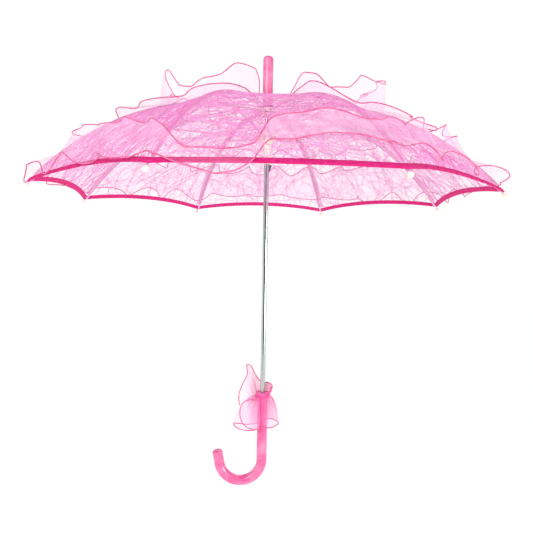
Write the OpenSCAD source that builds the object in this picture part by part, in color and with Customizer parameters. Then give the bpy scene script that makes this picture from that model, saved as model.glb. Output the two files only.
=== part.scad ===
// Lace parasol: a small open umbrella with a J handle, eight curved ribs, a sliding runner
// and a cloth canopy with two tiers of ruffles.
// Axes: +Z runs along the shaft from the handle to the ferrule, and the hook curls towards -X.
// Origin: on the shaft's axis, in the middle of the handle's straight grip.

/* [Canopy] */
// Distance from the shaft's axis to the corner of the canopy at a rib's tip
canopy_radius = 350; // [330:5:380]
// Height of the middle of the canopy above its corners
canopy_rise = 140; // [120:5:150]
// How late the canopy turns down towards its rim, as a power of the radius
canopy_curve = 2.8; // [2.4:0.1:3.2]
// Height of the canopy's corners above the grip
rim_height = 400; // [380:5:440]
// Thickness of the lace cloth
cloth_thickness = 0.6; // [0.5:0.1:1]
// How far the hem bows in between two corners
hem_bow = 9; // [4:1:16]
// Width of the hem's binding
hem_width = 9; // [5:1:10]

/* [Ribs and stretchers] */
// Width of a rib's channel section
rib_width = 2.8; // [2.6:0.1:3]
// Depth of a rib's channel section
rib_depth = 3.2; // [3:0.1:3.6]
// Wall of the rib's and the stretcher's channel
channel_wall = 0.5; // [0.4:0.1:0.7]
// Diameter of the ball on a rib's tip
tip_ball_diameter = 7; // [6:0.5:8]
// Distance from the shaft's axis to the rivet that joins a stretcher to its rib
rivet_radius = 175; // [165:1:180]
// Diameter of that rivet
rivet_diameter = 1.4; // [1.2:0.1:1.5]

/* [Shaft, ferrule and handle] */
// Diameter of the steel shaft
shaft_diameter = 8; // [8:0.5:9]
// Wall of the steel shaft
shaft_wall = 0.6; // [0.5:0.1:0.8]
// Diameter of the ferrule above the canopy
ferrule_diameter = 16.5; // [14:0.5:18]
// Height of the ferrule's tip above the grip
ferrule_top = 622; // [600:1:640]
// Diameter of the handle
handle_diameter = 16.5; // [14:0.5:20]
// Height of the handle's upper end above the grip
handle_top = 88; // [80:1:95]
// Radius of the hook along its centre line
hook_radius = 34; // [30:1:40]
// Depth of the hook's centre below the grip
hook_drop = 21; // [16:1:26]
// Angle that the hook turns through
hook_turn = 169; // [150:1:175]
// Straight length past the hook's bend
hook_stub = 22; // [10:1:26]

/* [Crown and runner] */
// Diameter of the crown that holds the ribs
crown_diameter = 25; // [24:0.5:27]
// Height of the ribs' pivots above the canopy's corners
crown_pivot = 133; // [130:0.5:134]
// Height of the stretchers' inner ends above the canopy's corners
runner_pivot = 94; // [90:0.5:98]
// Diameter of the runner's slotted flange
runner_diameter = 27; // [26:0.5:30]
// How far the runner slides down the shaft to close the canopy
runner_travel = 279.3; // [270:0.1:279.3]

/* [Ruffles] */
// Height of the lower ruffle
lower_ruffle_height = 22; // [12:1:30]
// Height of the upper ruffle
upper_ruffle_height = 52; // [24:1:60]
// Folds of a ruffle between two ribs
ruffle_folds = 5; // [3:1:7]

/* [Hidden] */
$fn = 64;
SECTORS = 8;
SECTOR_ANGLE = 360 / SECTORS;
HALF_ANGLE = SECTOR_ANGLE / 2;
FIRST_RIB_ANGLE = -1.5 * SECTOR_ANGLE;
BARE_PANEL_ANGLE = -90;
FIT = 0.02;
BODY_GAP = 0.3;

// The cloth lies a little over the ribs, and the hem's binding wraps its edge.
cloth_gap = 0.6;
hem_below = 0.2;
hem_above = 1.6;
hem_margin = 4;
hem_reach = 1.4 * (hem_bow + hem_width) + hem_margin;
centre_hole = 4.9;
cloth_top = cloth_gap + cloth_thickness;
profile_steps = 26;
rib_steps = 36;

// The crown and the runner: slotted hubs with a ring wire that the ribs or stretchers turn on.
ring_wire_radius = 0.55;
ring_wire_gap = 0.1;
eye_radius = 0.75;
tongue_width = 2;
slot_width = 2.6;
groove_height = 1.3;
crown_ring_radius = 9;
crown_slot_inner = 7.1;
crown_skirt = 6;
crown_roof = 2.2;
crown_under_cloth = 0.2;
pivot_z = rim_height + crown_pivot;
crown_top = rim_height + canopy_rise - crown_under_cloth;
crown_bottom = pivot_z - crown_skirt;

runner_ring_radius = 10;
runner_slot_inner = 8.2;
runner_clearance = 0.2;
runner_bore = shaft_diameter / 2 + runner_clearance;
sleeve_radius = 7;
sleeve_below_ring = 41.6;
flange_below_ring = 5.5;
flange_above_ring = 4.5;
ring_z = rim_height + runner_pivot;
sleeve_bottom = ring_z - sleeve_below_ring;
flange_bottom = ring_z - flange_below_ring;
flange_top = ring_z + flange_above_ring;

// The catches: flat leaves in slots of the shaft, one under the runner and one in its window.
catch_rise = 19;
catch_foot = 1.6;
catch_heel = 1.2;
catch_nose = 8.6;
catch_shoulder = 1.5;
catch_swing = catch_rise + 0.1;
catch_width = 1.2;
catch_pin_radius = 0.8;
catch_gap = 0.4;
catch_slot_gap = 0.25;
window_gap = 0.4;
window_rise = 5;
window_height = 14;
top_catch_z = sleeve_bottom - catch_gap - catch_rise;
window_bottom = sleeve_bottom + window_rise;
lower_catch_z = window_bottom + catch_gap - runner_travel + catch_rise;

// The shaft's ends in the handle and the ferrule, and the cap under the ferrule.
shaft_in_handle = 42;
shaft_under_tip = 34;
shaft_end_gap = 0.5;
shaft_bottom = handle_top - shaft_in_handle;
shaft_top = ferrule_top - shaft_under_tip;
cap_height = 2.4;
cap_rim = 0.8;
cap_radius = 15;
cap_bottom = rim_height + canopy_rise + cloth_top + BODY_GAP;
ferrule_bottom = cap_bottom + cap_height;
ferrule_corner = 5;
handle_corner = 2;
hook_corner = 3;
stub_overlap = 0.5;

// The frill on the grip and the tie that gathers it.
tie_z = handle_top - 4;
tie_height = 8;
tie_thickness = 3;
tie_gap = 0.1;
frill_gap = 0.5;
frill_folds = 10;
frill_notch = 4.5;
frill_wall_width = 2;
frill_edge = 4;
frill_tie_gap = 1;
frill_above = 44;
frill_below = 48;
frill_flare_above = 18;
frill_flare_below = 27;

// The cloth's slope at its corners, and the upright arc that bows the hem in between two.
tip_slope = canopy_rise * canopy_curve / canopy_radius;
rim_sine = sin(HALF_ANGLE);
rim_cosine = cos(HALF_ANGLE);
hem_chord = canopy_radius * rim_sine;
hem_arc_radius = (pow(hem_chord, 2) + pow(hem_bow, 2)) / (2 * hem_bow);
hem_inset = hem_width / sqrt(1 + tip_slope * tip_slope);
hem_arc_centre = canopy_radius * rim_cosine - hem_bow + hem_arc_radius;

function sector_angle(i) = FIRST_RIB_ANGLE + (i - 1) * SECTOR_ANGLE;
function same_angle(a, b) = abs((a - b + 900) % 360 - 180) < 1;

// The canopy's curve over a rib: height and slope at a distance from the axis.
function cloth_z(s) = rim_height + canopy_rise * (1 - pow(s / canopy_radius, canopy_curve));
function cloth_slope(s) = -tip_slope * pow(s / canopy_radius, canopy_curve - 1);

// A rib's top edge leaves the crown below the cloth and meets the cloth's curve further out.
rib_dip_end = 60;
rib_dip = cloth_z(crown_ring_radius) - rib_depth / 2 - pivot_z;
function rib_dip_share(s) =
    s < rib_dip_end ? pow((rib_dip_end - s) / (rib_dip_end - crown_ring_radius), 2) : 0;
function rib_top(s) = cloth_z(s) - rib_dip * rib_dip_share(s);
function rib_slope(s) = (rib_top(s + 0.5) - rib_top(s - 0.5));
function below_rib(s, depth) =
    let (m = rib_slope(s), n = sqrt(1 + m * m)) [s + depth * m / n, rib_top(s) - depth / n];

// The rib's tip: where its section ends, and the pin that carries the ball past the corner.
tongue_end = 17;
rib_end = canopy_radius - 4;
tip_angle = atan(-rib_slope(rib_end));
tip_pin_radius = 1;
tip_pin_root = 2;
tip_pin_depth = 1.5;
tip_ball_gap = 0.7;
tip_bore_depth = 1.7;
tip_reach = (canopy_radius - rib_end) / cos(tip_angle) + tip_ball_diameter / 2 + tip_ball_gap;

// The rib's open channel stops short of its ends and of the rivet.
channel_width = rib_width - 2 * channel_wall;
channel_end_gap = 8;
channel_rivet_gap = 7;
hole_gap = 0.05;

// The stretcher runs from the runner's ring to its rivet in the middle of the rib's depth.
rivet_point = below_rib(rivet_radius, rib_depth / 2);
stretcher_run = [rivet_point.x - runner_ring_radius, rivet_point.y - ring_z];
stretcher_length = norm(stretcher_run);
stretcher_angle = atan2(stretcher_run.y, stretcher_run.x);
strut_width = 2.2;
strut_depth = 2.6;
strut_channel_end = 15;
fork_length = 15;
fork_start = stretcher_length - fork_length;
fork_web = 4;
fork_overlap = 0.5;
fork_gap = 0.35;
fork_inner = rib_width + 2 * fork_gap;
ear_thickness = 0.8;
ear_radius = 1.7;
rivet_head = 0.5;

// The ruffles' lines round the canopy and the depth of their waves.
lower_ruffle_radius = 0.87 * canopy_radius;
upper_ruffle_radius = 0.5 * canopy_radius;
ruffle_wave = 8;
frill_thickness = 1.2;
ruffle_side_gap = 0.1;
bare_panel_margin = 1;

// The cloth's section between two ribs, in the plane through the middle of the panel.
function above_panel(s, lift) =
    let (m = cloth_slope(s) / rim_cosine, n = sqrt(1 + m * m))
    [s * rim_cosine - lift * m / n, cloth_z(s) + lift / n];
function steps(from, to, count) = [for (k = [0:count]) from + (to - from) * k / count];

// Turns a section drawn as [distance from the axis, height] into a plate of that width.
module upright_plate(width) {
    rotate([90, 0, 0])
        linear_extrude(width, center = true) children();
}

// A solid between two ribs: the outline is its section through the middle of the panel.
// It is kept from the rib at angle 0 to the middle of the panel on its left, less a gap.
module half_panel(outline, gap) {
    reach = 1.1 * canopy_radius * rim_sine;
    wedge = 1.2 * canopy_radius;
    intersection() {
        rotate([0, 0, HALF_ANGLE])
            rotate([90, 0, 0])
                linear_extrude(reach) polygon(outline);
        translate([gap / 2 / rim_sine, 0, 0])
            linear_extrude(2 * rim_height)
                polygon([[0, 0], [wedge, 0], [wedge, wedge * tan(HALF_ANGLE)]]);
    }
}

// A layer of cloth between two heights above the rib.
function layer_outline(from, to, low, high) = concat(
    [for (s = steps(from, to, profile_steps)) above_panel(s, low)],
    [for (s = steps(to, from, profile_steps)) above_panel(s, high)]
);

// Everything under the cloth's outer face, with some air over it.
function under_cloth_outline(air) = concat(
    [for (s = steps(0, canopy_radius + hem_margin, profile_steps)) above_panel(s, cloth_top + air)],
    [[(canopy_radius + hem_margin) * rim_cosine + 1, rim_height / 2], [0, rim_height / 2]]
);

// The half panels on both sides of a rib.
module both_halves() {
    children();
    mirror([0, 1, 0]) children();
}

// The upright cylinder that bows the hem in between two corners, grown towards the shaft.
module hem_cutter(inset) {
    rotate([0, 0, HALF_ANGLE])
        translate([hem_arc_centre, 0, rim_height / 2])
            cylinder(h = rim_height, r = hem_arc_radius + inset, $fn = 1440);
}

// An upright disc on a pivot, across the plane of a rib.
module cross_pin(radius, width) {
    rotate([90, 0, 0])
        cylinder(h = width, r = radius, center = true);
}

// A round rod that stands on z = 0 with a rounded upper edge.
module rounded_rod(length, radius, corner) {
    rotate_extrude() {
        square([radius, length - corner]);
        square([radius - corner, length]);
        translate([radius - corner, length - corner])
            intersection() {
                circle(corner);
                square(corner);
            }
    }
}

module ring_wire(radius, height) {
    color("silver")
        translate([0, 0, height])
            rotate_extrude()
                translate([radius, 0]) circle(ring_wire_radius);
}

// Radial slots and a groove for the ring wire, cut from a hub.
module hub_slots(inner, outer, from, to) {
    for (i = [1:SECTORS])
        rotate([0, 0, sector_angle(i)])
            translate([inner, -slot_width / 2, from])
                cube([outer - inner, slot_width, to - from]);
}

module ring_groove(radius, height) {
    translate([0, 0, height - groove_height / 2])
        difference() {
            cylinder(h = groove_height, r = crown_diameter);
            translate([0, 0, -1])
                cylinder(h = groove_height + 2, r = radius - ring_wire_radius - ring_wire_gap);
        }
}

module shaft_tube() {
    color("gainsboro")
        difference() {
            translate([0, 0, shaft_bottom])
                cylinder(h = shaft_top - shaft_bottom, d = shaft_diameter);
            translate([0, 0, shaft_bottom - 1])
                cylinder(h = shaft_top - shaft_bottom + 2, d = shaft_diameter - 2 * shaft_wall);
            at_top_catch() catch_slot();
            at_lower_catch() catch_slot();
        }
}

// Each catch turns on a pin at its foot; the lower one hangs upside down and faces +Y.
module at_top_catch() {
    translate([0, 0, top_catch_z]) children();
}

module at_lower_catch() {
    translate([0, 0, lower_catch_z])
        rotate([180, 0, 90]) children();
}

// A slot in the shaft's wall and the holes for the catch's pin.
module catch_slot() {
    translate([0, -catch_width / 2 - catch_slot_gap, -catch_foot - 2 * catch_slot_gap])
        cube([shaft_diameter, catch_width + 2 * catch_slot_gap,
              catch_rise + catch_foot + 4 * catch_slot_gap]);
    cross_pin(catch_pin_radius + hole_gap, 2 * shaft_diameter);
}

// A flat leaf with a sloping edge, turning on a pin at its foot. Its end is an arc about the
// pin, so that the runner can't push it in and it clears the runner when a thumb does.
module catch_leaf() {
    color("lightslategray") {
        intersection() {
            upright_plate(catch_width)
                polygon([
                    [-catch_heel, -catch_foot], [1.6, -catch_foot], [3.2, 4],
                    [catch_nose, catch_rise - catch_shoulder], [catch_nose, catch_rise],
                    [2, catch_rise], [-catch_heel, 4]
                ]);
            cross_pin(catch_swing, shaft_diameter);
        }
        cross_pin(catch_pin_radius, shaft_diameter);
    }
}

module top_catch() {
    at_top_catch() catch_leaf();
}

module lower_catch() {
    at_lower_catch() catch_leaf();
}

module ferrule() {
    color("hotpink")
        difference() {
            translate([0, 0, ferrule_bottom])
                rounded_rod(ferrule_top - ferrule_bottom, ferrule_diameter / 2, ferrule_corner);
            translate([0, 0, ferrule_bottom - 1])
                cylinder(h = shaft_top + shaft_end_gap - ferrule_bottom + 1, d = shaft_diameter + 2 * FIT);
        }
}

module crown() {
    color("ivory")
        difference() {
            translate([0, 0, crown_bottom])
                cylinder(h = crown_top - crown_bottom, d = crown_diameter);
            translate([0, 0, crown_bottom - 1])
                cylinder(h = crown_top - crown_bottom + 2, d = shaft_diameter + 2 * FIT);
            hub_slots(crown_slot_inner, crown_diameter, crown_bottom - 1, crown_top - crown_roof);
            ring_groove(crown_ring_radius, pivot_z);
        }
}

module crown_ring_wire() {
    ring_wire(crown_ring_radius, pivot_z);
}

module crown_cap() {
    bore = shaft_diameter / 2 + FIT;
    color("lightpink")
        translate([0, 0, cap_bottom])
            rotate_extrude()
                polygon([[bore, 0], [cap_radius, 0], [cap_radius, cap_rim],
                         [ferrule_diameter / 2, cap_height], [bore, cap_height]]);
}

module handle() {
    grip = handle_diameter / 2;
    color("hotpink")
        difference() {
            union() {
                translate([0, 0, -hook_drop])
                    rounded_rod(handle_top + hook_drop, grip, handle_corner);
                translate([-hook_radius, 0, -hook_drop])
                    rotate([-90, 0, 0])
                        rotate_extrude(angle = hook_turn)
                            translate([hook_radius, 0]) circle(grip);
                translate([-hook_radius, 0, -hook_drop])
                    rotate([0, hook_turn, 0])
                        translate([hook_radius, 0, stub_overlap])
                            mirror([0, 0, 1])
                                rounded_rod(hook_stub + stub_overlap, grip - FIT, hook_corner);
            }
            translate([0, 0, shaft_bottom - shaft_end_gap])
                cylinder(h = handle_top, d = shaft_diameter + 2 * FIT);
        }
}

// A flared frill round the handle's top, as a thin bell with a scalloped edge.
module frill(depth, flare) {
    inner = handle_diameter / 2 + BODY_GAP + frill_tie_gap;
    difference() {
        rotate_extrude()
            polygon([[inner, 0], [inner + frill_wall_width, 0], [flare, depth - frill_edge],
                     [flare, depth], [flare - frill_wall_width, depth], [inner, frill_edge]]);
        for (k = [1:frill_folds])
            rotate([0, 0, k * 360 / frill_folds])
                translate([flare + frill_notch / 2, 0, depth / 2])
                    cylinder(h = depth, r = frill_notch);
    }
}

module grip_ruffle() {
    color("pink") {
        translate([0, 0, tie_z + tie_height / 2 + frill_gap])
            frill(frill_above, frill_flare_above);
        translate([0, 0, tie_z - tie_height / 2 - frill_gap])
            mirror([0, 0, 1]) frill(frill_below, frill_flare_below);
    }
}

module ruffle_tie() {
    color("deeppink")
        translate([0, 0, tie_z - tie_height / 2])
            difference() {
                cylinder(h = tie_height, r = handle_diameter / 2 + tie_thickness);
                translate([0, 0, -1])
                    cylinder(h = tie_height + 2, r = handle_diameter / 2 + tie_gap);
            }
}

module runner() {
    color("ivory")
        difference() {
            union() {
                translate([0, 0, sleeve_bottom])
                    cylinder(h = flange_top - sleeve_bottom, r = sleeve_radius);
                translate([0, 0, flange_bottom])
                    cylinder(h = flange_top - flange_bottom, d = runner_diameter);
            }
            translate([0, 0, sleeve_bottom - 1])
                cylinder(h = flange_top - sleeve_bottom + 2, r = runner_bore);
            hub_slots(runner_slot_inner, runner_diameter, flange_bottom - 1, flange_top + 1);
            ring_groove(runner_ring_radius, ring_z);
            translate([-catch_width / 2 - window_gap, 0, window_bottom])
                cube([catch_width + 2 * window_gap, 2 * sleeve_radius, window_height]);
        }
}

module runner_ring_wire() {
    ring_wire(runner_ring_radius, ring_z);
}

// A stretch of the rib between two distances from the axis and two depths under its top edge.
module rib_strip(from, to, high, low, width) {
    upright_plate(width)
        polygon(concat(
            [for (s = steps(from, to, rib_steps)) below_rib(s, high)],
            [for (s = steps(to, from, rib_steps)) below_rib(s, low)]
        ));
}

// The hollow of the rib's channel, open at its underside.
module rib_channel(from, to) {
    rib_strip(from, to, channel_wall, rib_depth + 1, channel_width);
}

module at_rib_point(point) {
    translate([point.x, 0, point.y]) children();
}

module rib(i) {
    color("silver")
        rotate([0, 0, sector_angle(i)])
            difference() {
                union() {
                    rib_strip(crown_ring_radius, tongue_end, 0, rib_depth, tongue_width);
                    rib_strip(tongue_end, rib_end, 0, rib_depth, rib_width);
                    at_rib_point([crown_ring_radius, pivot_z]) cross_pin(rib_depth / 2, tongue_width);
                    at_rib_point(below_rib(rib_end, rib_depth / 2))
                        rotate([0, 90 + tip_angle, 0])
                            translate([0, 0, -tip_pin_root])
                                cylinder(h = tip_pin_root + tip_reach + tip_pin_depth,
                                         r = tip_pin_radius);
                }
                rib_channel(tongue_end + channel_end_gap, rivet_radius - channel_rivet_gap);
                rib_channel(rivet_radius + channel_rivet_gap, rib_end - channel_end_gap);
                at_rib_point([crown_ring_radius, pivot_z]) cross_pin(eye_radius, rib_width + 2);
                at_rib_point(rivet_point)
                    cross_pin(rivet_diameter / 2 + hole_gap, rib_width + 2);
            }
}

module rib_tip(i) {
    color("ivory")
        rotate([0, 0, sector_angle(i)])
            at_rib_point(below_rib(rib_end, rib_depth / 2))
                rotate([0, 90 + tip_angle, 0])
                    translate([0, 0, tip_reach])
                        difference() {
                            sphere(d = tip_ball_diameter);
                            translate([0, 0, -tip_ball_diameter])
                                cylinder(h = tip_ball_diameter + tip_bore_depth, r = tip_pin_radius + FIT);
                        }
}

// A strut from the runner's ring to the rib, with a fork and a rivet at its outer end.
module stretcher(i) {
    color("silver")
        rotate([0, 0, sector_angle(i)])
            translate([runner_ring_radius, 0, ring_z])
                rotate([0, -stretcher_angle, 0]) {
                    difference() {
                        translate([ring_wire_radius + BODY_GAP, -strut_width / 2, -strut_depth / 2])
                            cube([fork_start - ring_wire_radius - BODY_GAP, strut_width, strut_depth]);
                        translate([strut_channel_end, -strut_width / 2 + channel_wall, -strut_depth])
                            cube([fork_start - 2 * strut_channel_end, strut_width - 2 * channel_wall,
                                  1.5 * strut_depth - channel_wall]);
                    }
                    fork();
                }
}

// The two ears at a stretcher's outer end, with the rivet that goes through the rib.
module fork() {
    ear_centre = fork_inner / 2 + ear_thickness / 2;
    translate([fork_start - fork_overlap, -fork_inner / 2 - ear_thickness, -strut_depth / 2])
        cube([fork_web + fork_overlap, fork_inner + 2 * ear_thickness, strut_depth]);
    for (side = [-1, 1])
        translate([0, side * ear_centre, 0]) {
            translate([fork_start, -ear_thickness / 2, -strut_depth / 2])
                cube([stretcher_length - fork_start, ear_thickness, strut_depth]);
            translate([stretcher_length, 0, 0]) cross_pin(ear_radius, ear_thickness);
        }
    translate([stretcher_length, 0, 0]) {
        cross_pin(rivet_diameter / 2, fork_inner + 2 * ear_thickness + 2 * rivet_head);
        for (side = [-1, 1])
            translate([0, side * (fork_inner / 2 + ear_thickness + rivet_head / 2), 0])
                cross_pin(rivet_diameter / 2 + rivet_head, rivet_head);
    }
}

module canopy(i) {
    color("orchid")
        rotate([0, 0, sector_angle(i)])
            difference() {
                both_halves()
                    difference() {
                        half_panel(
                            layer_outline(0, canopy_radius + hem_margin, cloth_gap, cloth_top), BODY_GAP);
                        hem_cutter(hem_inset + FIT);
                    }
                translate([0, 0, pivot_z])
                    cylinder(h = canopy_rise, r = centre_hole);
            }
}

module hem(i) {
    color("deeppink")
        rotate([0, 0, sector_angle(i)])
            both_halves()
                intersection() {
                    difference() {
                        half_panel(
                            layer_outline(canopy_radius - hem_reach, canopy_radius + hem_margin,
                                          hem_below, hem_above), BODY_GAP);
                        hem_cutter(0);
                    }
                    hem_cutter(hem_inset);
                }
}

// An upright frill that follows a line round one sector and stands on the cloth.
module frill_wall(s, height, from, to) {
    turns = steps(from, to, 8 * ruffle_folds);
    top = cloth_z(s) + height;
    difference() {
        translate([0, 0, cloth_z(s + 3 * ruffle_wave)])
            linear_extrude(top - cloth_z(s + 3 * ruffle_wave))
                polygon(concat(
                    [for (a = turns) frill_point(s, a, -frill_thickness / 2)],
                    [for (k = [len(turns) - 1:-1:0]) frill_point(s, turns[k], frill_thickness / 2)]
                ));
        both_halves() half_panel(under_cloth_outline(BODY_GAP), 0);
    }
}

function frill_point(s, a, side) =
    let (
        along = s * rim_cosine / cos(HALF_ANGLE - abs(a)),
        r = along + ruffle_wave * sin(360 * ruffle_folds * a / SECTOR_ANGLE) + side
    )
    [r * cos(a), r * sin(a)];

// Both ruffles of one sector. The upper one is left out on the bare panel.
module ruffle(i) {
    edge = HALF_ANGLE - ruffle_side_gap;
    bare_before = same_angle(sector_angle(i) - HALF_ANGLE, BARE_PANEL_ANGLE);
    bare_after = same_angle(sector_angle(i) + HALF_ANGLE, BARE_PANEL_ANGLE);
    color("pink")
        rotate([0, 0, sector_angle(i)]) {
            frill_wall(lower_ruffle_radius, lower_ruffle_height, -edge, edge);
            frill_wall(upper_ruffle_radius, upper_ruffle_height,
                       bare_before ? bare_panel_margin : -edge,
                       bare_after ? -bare_panel_margin : edge);
        }
}

shaft_tube();
ferrule();
crown();
crown_ring_wire();
crown_cap();
handle();
grip_ruffle();
ruffle_tie();
runner();
runner_ring_wire();
top_catch();
lower_catch();
for (i = [1:SECTORS]) {
    rib(i);
    rib_tip(i);
    stretcher(i);
    canopy(i);
    hem(i);
    ruffle(i);
}
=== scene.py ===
"""Looks of the lace parasol: a lace canopy with a bound hem, two tiers of corded organza ruffles,
a gathered frill on the grip, and finishes for the steel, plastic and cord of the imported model.

Everything is in metres in the CAD frame: +Z along the shaft, the camera on the -Y side.
A bearing is an angle round the shaft in degrees, 0 towards the camera and 90 towards +X."""
import math

import bpy
import numpy as np
from mathutils import Matrix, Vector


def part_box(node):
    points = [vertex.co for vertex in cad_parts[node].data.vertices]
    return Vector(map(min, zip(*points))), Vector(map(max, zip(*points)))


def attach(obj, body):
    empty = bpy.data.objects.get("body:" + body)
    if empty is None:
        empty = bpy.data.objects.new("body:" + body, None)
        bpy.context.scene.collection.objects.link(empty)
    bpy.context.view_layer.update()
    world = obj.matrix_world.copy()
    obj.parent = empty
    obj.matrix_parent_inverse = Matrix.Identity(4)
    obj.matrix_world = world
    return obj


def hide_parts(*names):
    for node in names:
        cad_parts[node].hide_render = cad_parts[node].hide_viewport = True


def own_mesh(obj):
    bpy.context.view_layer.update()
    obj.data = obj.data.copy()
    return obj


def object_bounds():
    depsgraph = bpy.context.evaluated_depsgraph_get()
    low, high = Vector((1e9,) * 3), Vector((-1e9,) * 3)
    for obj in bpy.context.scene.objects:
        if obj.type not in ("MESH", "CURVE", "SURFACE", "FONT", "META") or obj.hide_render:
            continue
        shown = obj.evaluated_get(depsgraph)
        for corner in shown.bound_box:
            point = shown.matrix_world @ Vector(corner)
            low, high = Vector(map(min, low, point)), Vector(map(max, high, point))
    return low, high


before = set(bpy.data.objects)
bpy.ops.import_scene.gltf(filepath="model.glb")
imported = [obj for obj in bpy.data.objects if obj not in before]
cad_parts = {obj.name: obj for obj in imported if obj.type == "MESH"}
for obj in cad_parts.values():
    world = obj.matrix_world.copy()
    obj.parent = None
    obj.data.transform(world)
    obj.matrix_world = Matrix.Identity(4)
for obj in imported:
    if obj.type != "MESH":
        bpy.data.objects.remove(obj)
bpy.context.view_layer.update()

MM = 0.001
SECTORS = 8
SECTOR = 360 / SECTORS
HALF_SECTOR = SECTOR / 2
FIRST_RIB = 22.5
COS_HALF = math.cos(math.radians(HALF_SECTOR))
TAN_HALF = math.tan(math.radians(HALF_SECTOR))

# The canopy's shape, as the CAD has it: its corners are at the distance CORNER from the axis,
# and its profile falls from RISE above the rim as the power CLOTH_CURVE of the distance.
CLOTH_CURVE = 2.8
CAP_LIFT = 1.5 * MM
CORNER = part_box("hem_2")[1].x / COS_HALF
CHORD = 2 * CORNER * math.sin(math.radians(HALF_SECTOR))
RIM_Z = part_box("hem_2")[0].z
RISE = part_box("crown_cap")[0].z - CAP_LIFT - RIM_Z

# The cloth lies CLOTH_LIFT above the profile and sags between the ribs.
CLOTH_LIFT = 0.9 * MM
PANEL_SAG = 3 * MM
SEAM_WIDTH = 11 * MM
SEAM_START = 16 * MM
CENTRE_HOLE = 6 * MM

# The hem's tape, and how far its edge bows in between two corners.
HEM_BOW = 9 * MM
FRONT_HEM_BOW = 2.5 * MM
HEM_WIDTH = 9 * MM
HEM_THICKNESS = 2.2 * MM

# How brightly the white room lights the model, from its walls and from its ceiling.
ROOM_LIGHT = (0.84, 0.38)


def rib_bearing(i):
    return FIRST_RIB + (i - 1) * SECTOR


def around(bearing):
    """The angle from +X, in radians, of a bearing."""
    return np.radians(np.asarray(bearing, float) - 90)


# ---------------------------------------------------------------- the cloth's surface

def cloth_height(s):
    return RIM_Z + RISE * (1 - (np.abs(s) / CORNER) ** CLOTH_CURVE)


def from_rib(bearing):
    """Degrees from the nearest rib, from -HALF_SECTOR to HALF_SECTOR."""
    return (np.asarray(bearing, float) - FIRST_RIB + HALF_SECTOR) % SECTOR - HALF_SECTOR


def bare_point(bearing, s):
    """A point of the canopy, s metres out as measured on the nearest rib."""
    off = HALF_SECTOR - np.abs(from_rib(bearing))
    radius = s * COS_HALF / np.cos(np.radians(off))
    slack = 1 - (off / HALF_SECTOR) ** 2
    sag = PANEL_SAG * slack * np.sin(np.pi * np.clip(s / CORNER, 0, 1))
    return np.stack([radius * np.cos(around(bearing)), radius * np.sin(around(bearing)),
                     cloth_height(s) - sag], axis=-1)


def unit(v):
    return v / np.maximum(np.linalg.norm(v, axis=-1, keepdims=True), 1e-12)


def cloth_frame(bearing, s, turn=1.5, step=2 * MM):
    """Unit vectors round the canopy, up its slope and out of it."""
    round_it = unit(bare_point(bearing + turn, s) - bare_point(bearing - turn, s))
    up_it = unit(bare_point(bearing, s - step) - bare_point(bearing, s + step))
    out_of_it = unit(np.cross(round_it, up_it))
    return round_it, up_it, out_of_it


def on_cloth(bearing, s, lift=CLOTH_LIFT):
    bearing, s, lift = np.broadcast_arrays(
        np.asarray(bearing, float), np.asarray(s, float), np.asarray(lift, float))
    return bare_point(bearing, s) + lift[..., None] * cloth_frame(bearing, s)[2]


def hem_distance(bearing):
    """Where the canopy ends at a bearing, as s. The hem bows in between two corners, but
    the weight of the drooping ruffle straightens it on the front panel."""
    off = np.radians(HALF_SECTOR - np.abs(from_rib(bearing)))
    in_front = (np.asarray(bearing, float) + HALF_SECTOR) % 360 < SECTOR
    bow = np.where(in_front, FRONT_HEM_BOW, HEM_BOW)
    chord_distance = CORNER * COS_HALF
    d = np.full_like(off, chord_distance)
    for _ in range(4):  # the bow depends on the sideways place, which depends on the distance
        d = chord_distance - bow * (1 - (d * np.tan(off) / (CHORD / 2)) ** 2)
    return d / COS_HALF


# ---------------------------------------------------------------- meshes

def piece(name, points, faces, material):
    mesh = bpy.data.meshes.new(name)
    mesh.from_pydata(np.asarray(points, float).reshape(-1, 3).tolist(), [],
                     [list(map(int, f)) for f in faces])
    mesh.polygons.foreach_set("use_smooth", [True] * len(mesh.polygons))
    mesh.update()
    made = bpy.data.objects.new(name, mesh)
    bpy.context.scene.collection.objects.link(made)
    made.data.materials.append(material)
    return made


def grid_faces(rows, columns, round_columns=False):
    """Quads between the points of a grid; round_columns joins the last column to the first."""
    row = np.arange(rows - 1)[:, None] * columns
    last = columns if round_columns else columns - 1
    here = np.arange(last)[None, :]
    there = (here + 1) % columns
    return np.stack([row + here, row + there, row + columns + there, row + columns + here],
                    axis=-1).reshape(-1, 4)


def grid_piece(name, points, material, round_columns=False):
    points = np.asarray(points)
    faces = grid_faces(points.shape[0], points.shape[1], round_columns)
    return piece(name, points, faces, material)


def tube(path, radius, sides=8):
    """Points and faces of a round cord along a path, its section carried along without twist."""
    path = np.asarray(path, float)
    along = unit(np.gradient(path, axis=0))
    not_along = [0.31, 0.17, 0.94]
    side = unit(np.cross(along[0], not_along))
    turns = np.linspace(0, 2 * np.pi, sides, endpoint=False)
    rings = []
    for point, ahead in zip(path, along):
        side = unit(side - ahead * (side @ ahead))
        other = np.cross(ahead, side)
        rings.append(point + radius * (np.cos(turns)[:, None] * side
                                       + np.sin(turns)[:, None] * other))
    faces = [list(f) for f in grid_faces(len(path), sides, round_columns=True)]
    faces.append(list(range(sides))[::-1])
    faces.append(list(range((len(path) - 1) * sides, len(path) * sides)))
    return np.concatenate(rings), faces


def tubes_piece(name, paths, radius, material, sides=8):
    """One piece of several cords."""
    points, faces, count = [], [], 0
    for path in paths:
        p, f = tube(path, radius, sides)
        points.append(p)
        faces += [[v + count for v in face] for face in f]
        count += len(p)
    return piece(name, np.concatenate(points), faces, material)


# ---------------------------------------------------------------- materials

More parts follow.
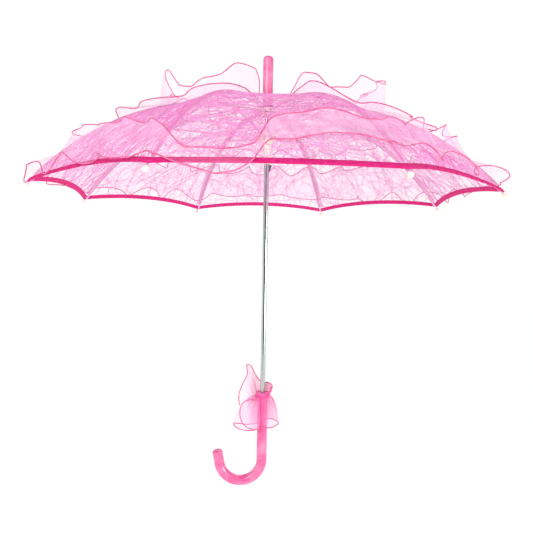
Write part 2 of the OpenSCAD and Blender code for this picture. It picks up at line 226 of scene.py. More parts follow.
def rgb(code):
    """Linear colour of a #RRGGBB code."""
    parts = [int(code[k:k + 2], 16) / 255 for k in (1, 3, 5)]
    return tuple(p / 12.92 if p <= 0.04045 else ((p + 0.055) / 1.055) ** 2.4
                 for p in parts) + (1.0,)


class Finish:
    """A node material round one Principled shader, with the textures that feed it."""

    def __init__(self, name, colour, roughness, **sockets):
        self.material = bpy.data.materials.new(name)
        self.material.use_nodes = True
        self.tree = self.material.node_tree
        self.shader = self.tree.nodes["Principled BSDF"]
        self.shader.inputs["Base Color"].default_value = rgb(colour)
        self.shader.inputs["Roughness"].default_value = roughness
        for socket, value in sockets.items():
            self.shader.inputs[socket.replace("_", " ")].default_value = value
        self.place = self.tree.nodes.new("ShaderNodeTexCoord").outputs["Object"]

    def node(self, kind, **settings):
        made = self.tree.nodes.new(kind)
        for key, value in settings.items():
            setattr(made, key, value)
        return made

    def join(self, source, target):
        self.tree.links.new(source, target)

    def noise(self, size, detail=3.0, distortion=0.0, stretch=(1, 1, 1)):
        """Noise with features of about that size, in metres."""
        scaled = self.node("ShaderNodeMapping")
        scaled.inputs["Scale"].default_value = stretch
        self.join(self.place, scaled.inputs["Vector"])
        made = self.node("ShaderNodeTexNoise")
        made.inputs["Scale"].default_value = 1 / size
        made.inputs["Detail"].default_value = detail
        made.inputs["Distortion"].default_value = distortion
        self.join(scaled.outputs["Vector"], made.inputs["Vector"])
        return made.outputs["Fac"]

    def cells(self, size, feature="DISTANCE_TO_EDGE", wobble=0.0):
        """Voronoi cells of about that size; wobble bends their edges, in metres."""
        place = self.place
        if wobble:
            bend = self.node("ShaderNodeTexNoise")
            bend.inputs["Scale"].default_value = 0.4 / size
            self.join(self.place, bend.inputs["Vector"])
            moved = self.node("ShaderNodeVectorMath", operation="MULTIPLY_ADD")
            self.join(bend.outputs["Color"], moved.inputs[0])
            moved.inputs[1].default_value = (wobble, wobble, wobble)
            self.join(self.place, moved.inputs[2])
            place = moved.outputs["Vector"]
        made = self.node("ShaderNodeTexVoronoi", feature=feature)
        made.inputs["Scale"].default_value = 1 / size
        self.join(place, made.inputs["Vector"])
        return made.outputs["Distance"]

    def waves(self, size, direction="Z", distortion=0.0):
        made = self.node("ShaderNodeTexWave", bands_direction=direction)
        made.inputs["Scale"].default_value = 0.314 / size
        made.inputs["Distortion"].default_value = distortion
        self.join(self.place, made.inputs["Vector"])
        return made.outputs["Fac"]

    def from_axis(self):
        """Distance from the shaft's axis, in metres."""
        flat = self.node("ShaderNodeVectorMath", operation="MULTIPLY")
        self.join(self.place, flat.inputs[0])
        flat.inputs[1].default_value = (1, 1, 0)
        length = self.node("ShaderNodeVectorMath", operation="LENGTH")
        self.join(flat.outputs["Vector"], length.inputs[0])
        return length.outputs["Value"]

    def height(self):
        """Height in the CAD frame, in metres."""
        parts = self.node("ShaderNodeSeparateXYZ")
        self.join(self.place, parts.inputs[0])
        return parts.outputs["Z"]

    def ramp(self, source, low, high, out_low, out_high):
        """Source from low to high becomes out_low to out_high."""
        made = self.node("ShaderNodeMapRange")
        self.join(source, made.inputs["Value"])
        for socket, value in zip(("From Min", "From Max", "To Min", "To Max"),
                                 (low, high, out_low, out_high)):
            made.inputs[socket].default_value = value
        return made.outputs["Result"]

    def largest(self, a, b):
        made = self.node("ShaderNodeMath", operation="MAXIMUM")
        self.join(a, made.inputs[0])
        self.join(b, made.inputs[1])
        return made.outputs["Value"]

    def product(self, a, b):
        made = self.node("ShaderNodeMath", operation="MULTIPLY")
        self.join(a, made.inputs[0])
        self.join(b, made.inputs[1])
        return made.outputs["Value"]

    def two_colours(self, share, first, second):
        """The base colour runs from first to second with share."""
        mix = self.node("ShaderNodeMix", data_type="RGBA")
        self.join(share, mix.inputs["Factor"])
        mix.inputs["A"].default_value = rgb(first)
        mix.inputs["B"].default_value = rgb(second)
        self.join(mix.outputs["Result"], self.shader.inputs["Base Color"])

    def bump(self, source, depth):
        """Relief of that depth in metres."""
        made = self.node("ShaderNodeBump")
        made.inputs["Strength"].default_value = 1.0
        made.inputs["Distance"].default_value = depth
        self.join(source, made.inputs["Height"])
        self.join(made.outputs["Normal"], self.shader.inputs["Normal"])

    def drive(self, source, socket):
        self.join(source, self.shader.inputs[socket])


def lace_ground():
    """The finest threads of the lace: two nets of fine cells with open holes."""
    f = Finish("lace_ground", "#F79AD8", 0.8, Sheen_Weight=0.3, Sheen_Roughness=0.4)
    coarse = f.ramp(f.cells(3.6 * MM, wobble=2 * MM), 0.05, 0.10, 0.24, 0.0)
    fine = f.ramp(f.cells(1.9 * MM, wobble=1 * MM), 0.05, 0.12, 0.12, 0.0)
    thick = f.ramp(f.noise(22 * MM), 0.35, 0.65, 0.4, 1.0)
    f.drive(f.product(f.largest(coarse, fine), thick), "Alpha")
    f.two_colours(f.noise(9 * MM), "#F694D8", "#FBB4E5")
    return f.material


def lace_thread():
    f = Finish("lace_thread", "#F486CC", 0.65, Sheen_Weight=0.4, Sheen_Roughness=0.35)
    f.two_colours(f.ramp(f.noise(16 * MM), 0.35, 0.65, 0, 1), "#F07CC8", "#FBA4DF")
    return f.material


def hem_tape():
    f = Finish("hem_tape", "#D41466", 0.7, Specular_IOR_Level=0.2)
    streaks = f.noise(5 * MM, detail=5, stretch=(1, 1, 2.5))
    f.two_colours(f.ramp(streaks, 0.3, 0.7, 0, 1), "#C4065E", "#DA3086")
    f.bump(f.cells(0.9 * MM), 0.2 * MM)
    return f.material


def tie_satin():
    f = Finish("tie_satin", "#F04CA0", 0.5, Sheen_Weight=0.3, Sheen_Roughness=0.3)
    f.two_colours(f.noise(3 * MM, detail=4, stretch=(1, 1, 0.2)), "#E63C90", "#F974B8")
    f.bump(f.noise(2 * MM, stretch=(1, 1, 0.1)), 0.3 * MM)
    return f.material


def seam_cloth():
    f = Finish("seam_cloth", "#F27CC8", 0.75, Sheen_Weight=0.3, Sheen_Roughness=0.4)
    f.two_colours(f.noise(5 * MM, detail=5), "#E864B8", "#F48CD0")
    f.drive(f.ramp(f.noise(2.2 * MM, detail=4), 0.3, 0.6, 0.3, 0.7), "Alpha")
    f.bump(f.cells(1.2 * MM), 0.2 * MM)
    return f.material


def organza(name, colour, other, clear, dense, thin_at=None):
    """Sheer woven cloth: fine weave, thicker and thinner in clouds. From the height thin_at
    down it hangs in one thickness, and above it more and more of its gathers overlap."""
    f = Finish(name, colour, 0.45, Sheen_Weight=0.5, Sheen_Roughness=0.25)
    f.two_colours(f.noise(18 * MM), colour, other)
    weave = f.ramp(f.product(f.waves(0.7 * MM, "X", 1.0), f.waves(0.7 * MM, "Z", 1.0)),
                   0.0, 1.0, 0.85, 1.15)
    cloud = f.ramp(f.noise(30 * MM, detail=4, distortion=0.6), 0.3, 0.7, clear, dense)
    cover = f.product(weave, cloud)
    if thin_at is not None:
        cover = f.product(cover, f.ramp(f.height(), thin_at, thin_at + 30 * MM, 0.3, 1.0))
    f.drive(cover, "Alpha")
    f.bump(f.noise(4 * MM, detail=2, stretch=(1, 1, 0.3)), 0.25 * MM)
    return f.material


def gathered_organza(name, clear, dense):
    """Organza that lies in many thicknesses close to the axis that it is gathered round. Its colour
    deepens towards the axis, partly for those thicknesses and partly as painted shade in the
    gathers by the tie.
    """
    f = Finish(name, "#F984BB", 0.45, Sheen_Weight=0.5, Sheen_Roughness=0.25)
    away = f.ramp(f.from_axis(), 11 * MM, 30 * MM, 0.0, 1.0)
    streaks = f.ramp(f.noise(5 * MM, detail=3, stretch=(1, 1, 0.15)), 0.35, 0.65, 0.75, 1.25)
    # Deep pink at the tie, pale away from it: partly the stacked cloth, partly painted shade in the
    # gathers.
    f.two_colours(away, "#F04AA0", "#FBB4E0")
    f.drive(f.product(f.ramp(away, 0.0, 1.0, dense, clear), streaks), "Alpha")
    f.bump(f.noise(4 * MM, detail=2, stretch=(1, 1, 0.3)), 0.25 * MM)
    return f.material


def cord_thread():
    f = Finish("cord_thread", "#DB5A92", 0.55, Sheen_Weight=0.4, Sheen_Roughness=0.3)
    f.two_colours(f.ramp(f.noise(6 * MM), 0.3, 0.7, 0, 1), "#D0407C", "#EA74A6")
    f.bump(f.waves(0.8 * MM, "DIAGONAL"), 0.12 * MM)
    return f.material


def pink_plastic():
    f = Finish("pink_plastic", "#FF62A4", 0.26, Coat_Weight=0.5, Coat_Roughness=0.12,
               Specular_IOR_Level=0.5)
    f.two_colours(f.ramp(f.noise(22 * MM, detail=4), 0.35, 0.65, 0, 1), "#DC5090", "#EE86AE")
    f.drive(f.ramp(f.noise(5 * MM, detail=6), 0.3, 0.7, 0.2, 0.34), "Roughness")
    f.bump(f.noise(3 * MM, detail=2), 0.05 * MM)
    return f.material


def ivory_plastic():
    f = Finish("ivory_plastic", "#F4EBD8", 0.35, Coat_Weight=0.2, Coat_Roughness=0.2)
    f.two_colours(f.noise(4 * MM), "#F7F0E2", "#EADFC6")
    f.drive(f.ramp(f.noise(2 * MM, detail=4), 0.3, 0.7, 0.28, 0.45), "Roughness")
    return f.material


def chrome():
    f = Finish("chrome", "#C7CDCB", 0.12, Metallic=1.0)
    f.drive(f.ramp(f.noise(3 * MM, detail=3, stretch=(1, 1, 0.05)), 0.3, 0.7, 0.1, 0.17),
            "Roughness")
    f.two_colours(f.noise(30 * MM), "#CED4D2", "#C0C6C4")
    return f.material


def rib_steel():
    f = Finish("rib_steel", "#EAB7D8", 0.4, Metallic=0.2)
    f.drive(f.ramp(f.noise(2 * MM, detail=5), 0.3, 0.7, 0.3, 0.5), "Roughness")
    f.two_colours(f.noise(12 * MM, detail=5), "#F2C0E0", "#E2AED0")
    return f.material


def catch_steel():
    f = Finish("catch_steel", "#7E838C", 0.3, Metallic=0.9)
    f.drive(f.ramp(f.noise(2 * MM, detail=5), 0.3, 0.7, 0.25, 0.45), "Roughness")
    f.two_colours(f.noise(6 * MM), "#858A93", "#6C717A")
    return f.material


# ---------------------------------------------------------------- sectors of the canopy

def with_sector(made, i):
    """The piece rides on a rib and has a mesh of its own."""
    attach(made, f"rib_{i}")
    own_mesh(made)
    return made


def sector_bearings(i, count):
    return rib_bearing(i) + np.linspace(-HALF_SECTOR, HALF_SECTOR, count)


def canopy_cloth(i, material):
    """The finest net of a sector, from the hole round the shaft to the middle of the hem."""
    rows, columns = 49, 41
    bearing = sector_bearings(i, columns)
    share = np.linspace(0, 1, rows)[:, None]
    s = CENTRE_HOLE + (hem_distance(bearing) - HEM_WIDTH / 2 - CENTRE_HOLE) * share
    return grid_piece(f"canopy_cloth_{i}", on_cloth(bearing[None, :], s), material)


def hem_binding(i, material):
    """A folded tape round the canopy's edge, slightly lumpy where it is stitched."""
    columns, sides, stitch_length, lump_length = 121, 12, 4.5 * MM, 11 * MM
    bearing = sector_bearings(i, columns)
    edge = hem_distance(bearing)
    section = np.linspace(0, 2 * np.pi, sides, endpoint=False)
    arc = np.cumsum(np.r_[0, np.linalg.norm(np.diff(bare_point(bearing, edge), axis=0), axis=1)])
    stitch = (1 + 0.09 * np.sin(2 * np.pi * arc / stitch_length)
              + 0.12 * np.sin(arc / lump_length))
    base = bare_point(bearing, edge - HEM_WIDTH * 0.4)
    _, up_it, out_of_it = cloth_frame(bearing, edge - HEM_WIDTH / 2)
    up = np.sign(np.cos(section)) * np.abs(np.cos(section)) ** 0.6 * HEM_WIDTH / 2
    out = np.sin(section) * HEM_THICKNESS / 2
    points = (base[:, None] + up[None, :, None] * up_it[:, None]
              + (CLOTH_LIFT + out[None, :, None] * stitch[:, None, None]) * out_of_it[:, None])
    return grid_piece(f"hem_binding_{i}", points, material, round_columns=True)


def rib_seam(i, material):
    """The seam of two gores over a rib: a strip of doubled lace with a raised fold along it."""
    rows, columns, fold_height = 90, 13, 1.2 * MM
    s = np.linspace(SEAM_START, CORNER - HEM_WIDTH, rows)
    across = np.linspace(-1, 1, columns)
    bearing = np.full_like(s, rib_bearing(i))
    centre = bare_point(bearing, s)
    round_it, _, out_of_it = cloth_frame(bearing, s)
    width = (SEAM_WIDTH / 2 + 0.4 * MM * np.sin(s / (9 * MM))) * np.clip(s / (60 * MM), 0.4, 1)
    droop = width[:, None] ** 2 * across ** 2 * (1 - COS_HALF) / (30 * MM)
    lift = CLOTH_LIFT + 0.25 * MM + fold_height * np.exp(-(across / 0.25) ** 2) - droop
    points = (centre[:, None] + (width[:, None] * across)[..., None] * round_it[:, None]
              + lift[..., None] * out_of_it[:, None])
    return grid_piece(f"rib_seam_{i}", points, material)


# ---------------------------------------------------------------- lace threads

# A panel's threads: how many, how many steps each, and how far each step turns, in radians.
THREAD_RADIUS = 0.3 * MM
THREAD_STEP = 6 * MM
LONG_THREADS = (95, 42, 0.09)
CURLY_THREADS = (95, 22, 0.33)
THREADS_START = 12 * MM
THREAD_SEED = 11


def thread_walks(rng, count, steps, bend):
    """Wandering lines over a panel, as distance from the axis and sideways offset."""
    reach = CORNER * COS_HALF
    d = reach * np.sqrt(rng.uniform(0.0, 1.0, count))
    t = rng.uniform(-1, 1, count) * d * TAN_HALF
    heading = rng.uniform(0, 2 * np.pi, count)[:, None]
    steady = rng.normal(0, bend * 0.6, (count, 1)) * np.arange(steps)
    wander = np.cumsum(rng.normal(0, bend, (count, steps)), axis=1)
    heading = heading + steady + wander
    go_d = np.cumsum(np.cos(heading) * THREAD_STEP, axis=1)
    go_t = np.cumsum(np.sin(heading) * THREAD_STEP, axis=1)
    middle = steps // 2
    return (d[:, None] + go_d - go_d[:, middle:middle + 1],
            t[:, None] + go_t - go_t[:, middle:middle + 1])


def panel_threads(rng, panel_bearing):
    """Threads of one panel: corner points of their three-sided tubes, and for each segment
    its start, whether it lies on the panel, and which half it is in."""
    found = []
    for count, steps, bend in (LONG_THREADS, CURLY_THREADS):
        d, t = thread_walks(rng, count, steps, bend)
        safe = np.clip(d, 8 * MM, None)
        bearing = panel_bearing + np.degrees(np.arctan2(t, safe))
        s = safe / COS_HALF
        inside = (np.abs(t) < d * TAN_HALF) & (s < hem_distance(bearing)) & (d > THREADS_START)
        lift = CLOTH_LIFT + rng.uniform(0.1, 0.5, (count, 1)) * MM
        centre = on_cloth(bearing, s, lift)
        _, _, out = cloth_frame(bearing, s)
        along = unit(np.gradient(centre, axis=1))
        side = unit(np.cross(along, out))
        turns = np.radians([90, 210, 330])
        ring = centre[:, :, None] + THREAD_RADIUS * (
            np.sin(turns)[:, None] * out[:, :, None] + np.cos(turns)[:, None] * side[:, :, None])
        keep = inside[:, :-1] & inside[:, 1:]
        left = (t[:, :-1] + t[:, 1:]) < 0
        found.append((ring, keep, left))
    return found


def lace_net(i, halves, material):
    """The threads of the two half panels beside a rib as one piece."""
    points, faces, count = [], [], 0
    for found, want_left in halves:
        for ring, keep, left in found:
            threads, steps = ring.shape[:2]
            chosen = keep & (left == want_left)
            first = (np.arange(threads)[:, None] * steps + np.arange(steps - 1)[None, :])[chosen]
            for a in range(3):
                b = (a + 1) % 3
                quad = np.stack([first * 3 + a, first * 3 + b,
                                 first * 3 + 3 + b, first * 3 + 3 + a], axis=-1)
                faces.append(quad + count)
            points.append(ring.reshape(-1, 3))
            count += threads * steps * 3
    points, faces = np.concatenate(points), np.concatenate(faces)
    used, index = np.unique(faces, return_inverse=True)
    return piece(f"lace_net_{i}", points[used], index.reshape(-1, 4), material)


# ---------------------------------------------------------------- ruffles

CORD_RADIUS = 0.85 * MM

# The lower ruffle by bearing: where its upper and lower edges lie, as shares of the way from
# the shaft to a corner, and how lively its waves are. It droops below the hem left of the
# camera and is lifted right of it.
LOWER_RUFFLE = [
    (-45, 0.80, 0.965, 0.8), (-34, 0.82, 0.975, 0.5), (-28, 0.84, 0.985, 0.3),
    (-23.5, 0.87, 0.968, 0.15), (-20.5, 0.92, 0.985, 0.08), (-17.5, 0.957, 1.003, 0.08),
    (-11, 0.96, 1.033, 0.08), (-7.5, 0.947, 1.023, 0.06), (-4.5, 0.93, 0.988, 0.06),
    (-3.3, 0.875, 0.943, 0.06), (-1.8, 0.822, 0.913, 0.08), (3, 0.79, 0.915, 0.1),
    (11, 0.756, 0.883, 0.1), (15, 0.755, 0.888, 0.12), (18, 0.775, 0.90, 0.15),
    (20.5, 0.815, 0.912, 0.18), (27, 0.81, 0.92, 0.35), (38, 0.78, 0.93, 0.7),
    (55, 0.765, 0.96, 1.1), (75, 0.785, 0.99, 1.15), (105, 0.79, 0.98, 1.0),
    (180, 0.78, 0.93, 0.8), (255, 0.79, 0.98, 1.0), (285, 0.79, 0.99, 1.0)]

# The upper ruffle by bearing, from the seam right of the camera round the back to the seam
# left of it: where it is sewn, as a share of the way out, how high its upper edge stands,
# how far up the slope that edge leans and how far down the slope the lower edge lies, in mm.
UPPER_RUFFLE = [
    (22.5, 0.22, 18, 0, 28), (27, 0.27, 38, 2, 34), (32, 0.34, 34, 4, 40), (38, 0.42, 16, 8, 48),
    (46, 0.49, 24, 16, 54), (52, 0.51, 44, 18, 58), (62, 0.52, 40, 14, 62), (72, 0.52, 52, 16, 62),
    (90, 0.51, 48, 22, 60), (120, 0.50, 38, 26, 56), (180, 0.50, 32, 24, 54),
    (240, 0.50, 32, 24, 56), (270, 0.50, 28, 26, 58), (284, 0.50, 24, 24, 56),
    (293, 0.49, 46, 20, 54), (299, 0.48, 24, 18, 52), (307, 0.46, 20, 14, 50),
    (316, 0.42, 28, 10, 46), (324, 0.36, 32, 6, 42), (331, 0.27, 46, 8, 36),
    (337.5, 0.12, 52, 26, 30)]
UPPER_START, UPPER_END = 22.5, 337.5

# The ruffles' waves out of the cloth, round the canopy and along its slope. Each has one
# (waves in a full turn, phase) above the sewn line and another below it.
LOWER_WAVES = {"out": ((25, 1.0), (22, 2.4)), "round": ((27, 4.0), (24, 0.7)),
               "slope": ((23, 5.2), (26, 3.3))}
UPPER_WAVES = {"out": ((17, 3.1), (18, 5.0)), "round": ((16, 0.6), (19, 2.9)),
               "slope": ((19, 1.7), (20, 2.2))}
RUFFLE_ROWS = 17
COLUMNS_PER_DEGREE = 5


def by_bearing(rows, column, bearing, soften=0.8):
    """A column of one of those lists at a bearing, with its corners softened."""
    knots = np.array([r[0] for r in rows], float)
    values = np.array([r[column] for r in rows], float)
    total = 0
    offsets = np.linspace(-soften, soften, 7)
    for off in offsets:
        total = total + np.interp(bearing + off, knots, values,
                                  period=None if rows is UPPER_RUFFLE else 360)
    return total / len(offsets)


def ripple(bearing, waves, phase):
    """Uneven waves round the canopy, about that many in a full turn, from -1 to 1."""
    b = np.radians(bearing)
    return (np.sin(waves * b + phase) + 0.55 * np.sin((waves + 4) * b + 2.1 * phase)
            + 0.45 * np.sin((waves - 6) * b + 4.3 * phase)) / 1.6


def waves_at(bearing, v, pair):
    """The first of a pair of waves above the sewn line, the second below it."""
    return np.where(v > 0, ripple(bearing, *pair[0]), ripple(bearing, *pair[1]))


def gathers(bearing, side):
    """Short creases beside the sewn line, flat at the line and at the edge, from -1 to 1."""
    b = np.radians(bearing)
    return np.sin(150 * b + 2 * np.sin(23 * b)) * 4 * side * (1 - side)


def lower_ruffle_point(bearing, v):
    """v runs from -1 at the lower edge, past the sewn line at 0, to 1 at the upper edge."""
    upper = by_bearing(LOWER_RUFFLE, 1, bearing)
    lower = by_bearing(LOWER_RUFFLE, 2, bearing)
    lively = by_bearing(LOWER_RUFFLE, 3, bearing)
    side = np.abs(v)
    share = (upper + lower) / 2 - (lower - upper) / 2 * v
    out, sideways, along = (waves_at(bearing, v, LOWER_WAVES[k]) for k in ("out", "round", "slope"))
    flap = np.where(v > 0, 2.5 + lively * (11 + 11 * out), 2 + lively * (10 + 9 * out)) * MM
    lift = 1.2 * MM + side ** 1.2 * flap + (0.3 + 0.6 * lively) * MM * gathers(bearing, side)
    s = CORNER * share + side * lively * 8 * MM * along
    turn = side ** 1.5 * lively * 2.2 * sideways
    return on_cloth(bearing + turn, s, CLOTH_LIFT + np.maximum(lift, 0.6 * MM))


def upper_ruffle_point(bearing, v):
    """v runs from -1 at the lower edge, past the sewn line at 0, to 1 at the standing edge.
    The ruffle shrinks to nothing at its two ends, and its waves are calmer in front."""
    sewn, height, lean, reach = (by_bearing(UPPER_RUFFLE, k, bearing) for k in (1, 2, 3, 4))
    side = np.abs(v)
    out, sideways, along = (waves_at(bearing, v, UPPER_WAVES[k]) for k in ("out", "round", "slope"))
    to_end = np.minimum((bearing - UPPER_START) / 3, (UPPER_END - bearing) / 1.5)
    size = np.clip(to_end, 0.0, 1) ** 0.5
    wave = 1 - 0.8 * np.clip((np.abs(bearing - 180) - 85) / 30, 0, 1)
    standing = height * (1 + 0.25 * wave * out) * side
    leaning = -(lean + 12 * wave * along) * side ** 1.2
    lying = (11 + 8 * out) * side ** 1.3
    reaching = (reach + 9 * along) * side
    lift = np.where(v > 0, standing, lying) * size + gathers(bearing, side)
    s = CORNER * sewn + np.where(v > 0, leaning, reaching) * size * MM
    turn = side ** 1.4 * size * wave * 3.6 * sideways
    return on_cloth(bearing + turn, s, CLOTH_LIFT + (1.5 + np.maximum(lift, 0)) * MM)


def ruffle_range(i, upper):
    """The bearings of a ruffle over one sector, or over half of it where the ruffle ends."""
    low, high = rib_bearing(i) - HALF_SECTOR, rib_bearing(i) + HALF_SECTOR
    if upper:
        low, high = max(low, UPPER_START), min(high, UPPER_END)
    count = int(round((high - low) * COLUMNS_PER_DEGREE)) + 1
    return np.linspace(low, high, count)


def ruffle(i, name, point, bearings, cloth, cord):
    """A ruffle's cloth over one sector, and the cords sewn into its two edges."""
    v = np.linspace(-1, 1, RUFFLE_ROWS)[:, None]
    sheet = grid_piece(f"{name}_{i}", point(bearings[None, :], v), cloth)
    cords = tubes_piece(f"{name}_cords_{i}",
                        [point(bearings, np.full_like(bearings, e)) for e in (-1.0, 1.0)],
                        CORD_RADIUS, cord, sides=6)
    return sheet, cords


# ---------------------------------------------------------------- the frill on the grip

# The frill's edges, in mm from the middle of the tie: to the right, away, up.
# The skirt hangs in two lobes; the collar rises to a point on the left; the flap is the
# strip's end, which has turned over and hangs in front of the left lobe.
SKIRT_EDGE = [
    (-3, -13, -48), (3, -19, -47), (13, -19, -48), (23, -10, -46), (26, 0, -45), (20, 11, -44),
    (8, 14, -43), (-2, 13, -46), (-10, 16, -52), (-24, 18, -54), (-38, 12, -51), (-46, 1, -47),
    (-41, -12, -50), (-27, -19, -52), (-12, -18, -52)]
COLLAR_EDGE = [
    (-37, -13, -14), (-38, -8, 2), (-32, -2, 18), (-25, 4, 32), (-26, 8, 46), (-19, 13, 43),
    (-12, 15, 30), (-3, 14, 18), (6, 12, 17), (12, 6, 17), (15, -2, 15), (13, -9, 9), (4, -12, 5)]
FLAP_EDGE = [
    (-3, -12, -4), (-14, -16, -4), (-26, -19, -5), (-33, -20, -10), (-36, -20, -22),
    (-34, -20, -36), (-26, -21, -46), (-14, -21, -50), (-5, -19, -50)]


FRILL_ROWS = 25
FRILL_COLUMNS_PER_KNOT = 24
FRILL_CREASE = 5.0


def smooth_path(knots, count, closed=False):
    """Points along a smooth curve through given knots."""
    knots = np.array(knots, float)
    n = len(knots)
    place = np.linspace(0, n if closed else n - 1, count)
    k = np.minimum(place.astype(int), n - 1 if closed else n - 2)
    f = (place - k)[:, None]
    a, b, c, d = (knots[j % n] if closed else knots[np.clip(j, 0, n - 1)]
                  for j in (k - 1, k, k + 1, k + 2))
    return 0.5 * (2 * b + (c - a) * f + (2 * a - 5 * b + 4 * c - d) * f ** 2
                  + (3 * b - a - 3 * c + d) * f ** 3)


def from_tie(edge, grip, out_first):
    """A cloth from the tie to an edge, in mm. It leaves the tie sideways, then follows."""
    turn = np.unwrap(np.arctan2(edge[:, 1], edge[:, 0]))
    start = np.stack([grip * np.cos(turn), grip * np.sin(turn), np.zeros(len(turn))], axis=-1)
    run = edge - start
    middle = start + run * np.array([out_first, out_first, 1 - out_first])
    v = np.linspace(0, 1, FRILL_ROWS)[:, None, None]
    points = start * (1 - v) ** 2 + 2 * v * (1 - v) * middle + edge * v ** 2
    radial = np.stack([np.cos(turn), np.sin(turn), np.zeros(len(turn))], axis=-1)
    fold = np.sin(17 * turn + 1.5 * np.sin(5 * turn))[None, :, None]
    return points + FRILL_CREASE * fold * v * (1 - v) * radial


def grip_frill(cloth, cord):
    """Skirt, collar and flap of the frill in one sheet, and the cords along their edges."""
    low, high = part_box("ruffle_tie")
    centre = np.array([0, 0, (low.z + high.z) / 2])
    grip = high.x / MM + 0.4
    points, faces, paths, count = [], [], [], 0
    for knots, closed, out_first in ((SKIRT_EDGE, True, 0.78), (COLLAR_EDGE, False, 0.55),
                                     (FLAP_EDGE, False, 0.7)):
        edge = smooth_path(knots, FRILL_COLUMNS_PER_KNOT * len(knots) + 1, closed)
        grid = from_tie(edge, grip, out_first) * MM + centre
        points.append(grid.reshape(-1, 3))
        faces.append(grid_faces(FRILL_ROWS, len(edge)) + count)
        count += FRILL_ROWS * len(edge)
        paths.append(grid[-1])
    sheet = piece("grip_frill", np.concatenate(points), np.concatenate(faces), cloth)
    cords = tubes_piece("grip_frill_cords", paths, CORD_RADIUS, cord, sides=6)
    return sheet, cords


# ---------------------------------------------------------------- camera, floor and lights

def add_camera():
    """The photograph's view: from a little under the rim, level with the upper shaft."""
    look_down, roll, turn_right = 1.65, -1.0, 2.5
    data = bpy.data.cameras.new("camera")
    data.lens, data.sensor_width = 37.88, 36.0
    camera = bpy.data.objects.new("camera", data)
    camera.location = (-0.0368, -0.8946, 0.3157)
    camera.rotation_euler = [math.radians(a) for a in (90 - look_down, roll, -turn_right)]
    bpy.context.scene.collection.objects.link(camera)
    bpy.context.scene.camera = camera


def add_floor():
    """White paper, far enough below that the model casts no shadow on what the camera sees."""
    drop, span = 1.3, 60.0
    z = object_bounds()[0].z - drop
    points = [(x * span, y * span, z) for x, y in ((-1, -1), (1, -1), (1, 1), (-1, 1))]
    f = Finish("floor_paper", "#FFFFFF", 0.9, Emission_Strength=0.5)
    f.shader.inputs["Emission Color"].default_value = (1, 1, 1, 1)
    f.two_colours(f.noise(0.4), "#FFFFFF", "#FBFBFB")
    piece("floor", points, [(0, 1, 2, 3)], f.material)


def add_light(name, place, towards, size, power):
    data = bpy.data.lights.new(name, "AREA")
    data.shape, data.size, data.energy = "DISK", size, power
    light = bpy.data.objects.new(name, data)
    back = unit(np.array(place, float) - np.array(towards, float))
    side = unit(np.cross([0, 0, 1], back))
    up = np.cross(back, side)
    turned = Matrix(np.column_stack([side, up, back]).tolist()).to_4x4()
    light.matrix_world = Matrix.Translation(place) @ turned
    bpy.context.scene.collection.objects.link(light)


def add_lights():
    """A white room that is brighter to look at than to be lit by, and three soft lamps."""
    world = bpy.data.worlds.new("studio")
    world.use_nodes = True
    tree = world.node_tree
    back = tree.nodes["Background"]
    back.inputs["Color"].default_value = (1, 1, 1, 1)
    path = tree.nodes.new("ShaderNodeLightPath")
    place = tree.nodes.new("ShaderNodeTexCoord")
    height = tree.nodes.new("ShaderNodeSeparateXYZ")
    tree.links.new(place.outputs["Generated"], height.inputs[0])
    room = tree.nodes.new("ShaderNodeMapRange")
    room.inputs["To Min"].default_value, room.inputs["To Max"].default_value = ROOM_LIGHT
    tree.links.new(height.outputs["Z"], room.inputs["Value"])
    level = tree.nodes.new("ShaderNodeMapRange")
    tree.links.new(room.outputs["Result"], level.inputs["To Min"])
    level.inputs["To Max"].default_value = 1.02
    tree.links.new(path.outputs["Is Camera Ray"], level.inputs["Value"])
    tree.links.new(level.outputs["Result"], back.inputs["Strength"])
    bpy.context.scene.world = world
    add_light("key", (-0.9, -1.7, 1.0), (0, 0, 0.4), 1.0, 20)
    add_light("fill", (1.5, -1.2, 0.2), (0, 0, 0.2), 0.6, 14)
    add_light("back", (0.3, 1.8, 1.4), (0, 0, 0.4), 1.6, 12)


def add_flag():
    """A black card left of the camera, which bright metal and plastic mirror as a dark line.
    Nothing else shows it, and it casts no shadow."""
    x, y, half_width, low, high = -0.5, -1.8, 0.95, -0.21, 1.4
    f = Finish("black_card", "#050505", 1.0)
    along = unit(np.array([-y, x]))
    ends = [(x + side * half_width * along[0], y + side * half_width * along[1])
            for side in (-1, 1)]
    card = piece("flag", [(*ends[0], low), (*ends[1], low), (*ends[1], high), (*ends[0], high)],
                 [(0, 1, 2, 3)], f.material)
    card.visible_camera = False
    card.visible_shadow = False
    card.visible_diffuse = False


# ---------------------------------------------------------------- building

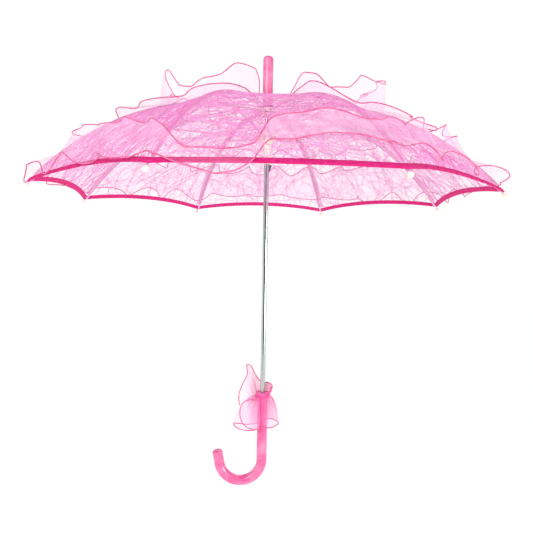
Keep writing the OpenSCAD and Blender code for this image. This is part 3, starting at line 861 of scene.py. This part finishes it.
def finish_cad_nodes():
    """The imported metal, plastic and cord parts keep their shapes and get their finishes."""
    steel, ivory, pink = rib_steel(), ivory_plastic(), pink_plastic()
    looks = {"shaft_tube": chrome(), "ferrule": pink, "handle": pink, "crown": ivory,
             "runner": ivory, "crown_cap": seam_cloth(), "ruffle_tie": tie_satin(),
             "crown_ring_wire": steel, "runner_ring_wire": steel}
    catch = catch_steel()
    looks["top_catch"] = looks["lower_catch"] = catch
    for i in range(1, SECTORS + 1):
        looks[f"rib_{i}"] = looks[f"stretcher_{i}"] = steel
        looks[f"rib_tip_{i}"] = ivory
    for name, material in looks.items():
        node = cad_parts[name]
        node.data.materials.clear()
        node.data.materials.append(material)


def build_canopy():
    ground, thread, tape, seam = lace_ground(), lace_thread(), hem_tape(), seam_cloth()
    rng = np.random.default_rng(THREAD_SEED)
    panels = [panel_threads(rng, rib_bearing(i) + HALF_SECTOR) for i in range(1, SECTORS + 1)]
    for i in range(1, SECTORS + 1):
        cloth = canopy_cloth(i, ground)
        binding = hem_binding(i, tape)
        fold = rib_seam(i, seam)
        net = lace_net(i, [(panels[i - 1], True), (panels[i - 2], False)], thread)
        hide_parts(f"canopy_{i}")
        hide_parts(f"hem_{i}")
        for made, slot in ((cloth, "lace"), (fold, "lace"), (net, "lace"),
                           (binding, "hem_binding")):
            with_sector(made, i)


def build_ruffles():
    lower_cloth = organza("organza_lower", "#FCBCE6", "#FED6F0", 0.27, 0.46,
                          thin_at=RIM_Z + 12 * MM)
    upper_cloth = organza("organza_upper", "#FBBEE4", "#FEDCF2", 0.22, 0.38)
    cord = cord_thread()
    for i in range(1, SECTORS + 1):
        for name, point, upper, cloth in (
                ("lower_ruffle", lower_ruffle_point, False, lower_cloth),
                ("upper_ruffle", upper_ruffle_point, True, upper_cloth)):
            sheet, cords = ruffle(i, name, point, ruffle_range(i, upper), cloth, cord)
            if not upper:
                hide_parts(f"ruffle_{i}")
            with_sector(sheet, i)
            with_sector(cords, i)


def build_grip_frill():
    cloth = gathered_organza("organza_grip", 0.19, 0.64)
    sheet, cords = grip_frill(cloth, cord_thread())
    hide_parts("grip_ruffle")
    for made in (sheet, cords):
        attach(made, "shaft")


add_camera()
add_floor()
add_lights()
add_flag()
finish_cad_nodes()
build_canopy()
build_ruffles()
build_grip_frill()

scene = bpy.context.scene
scene.view_settings.view_transform = "Standard"
scene.cycles.transparent_max_bounces = 32
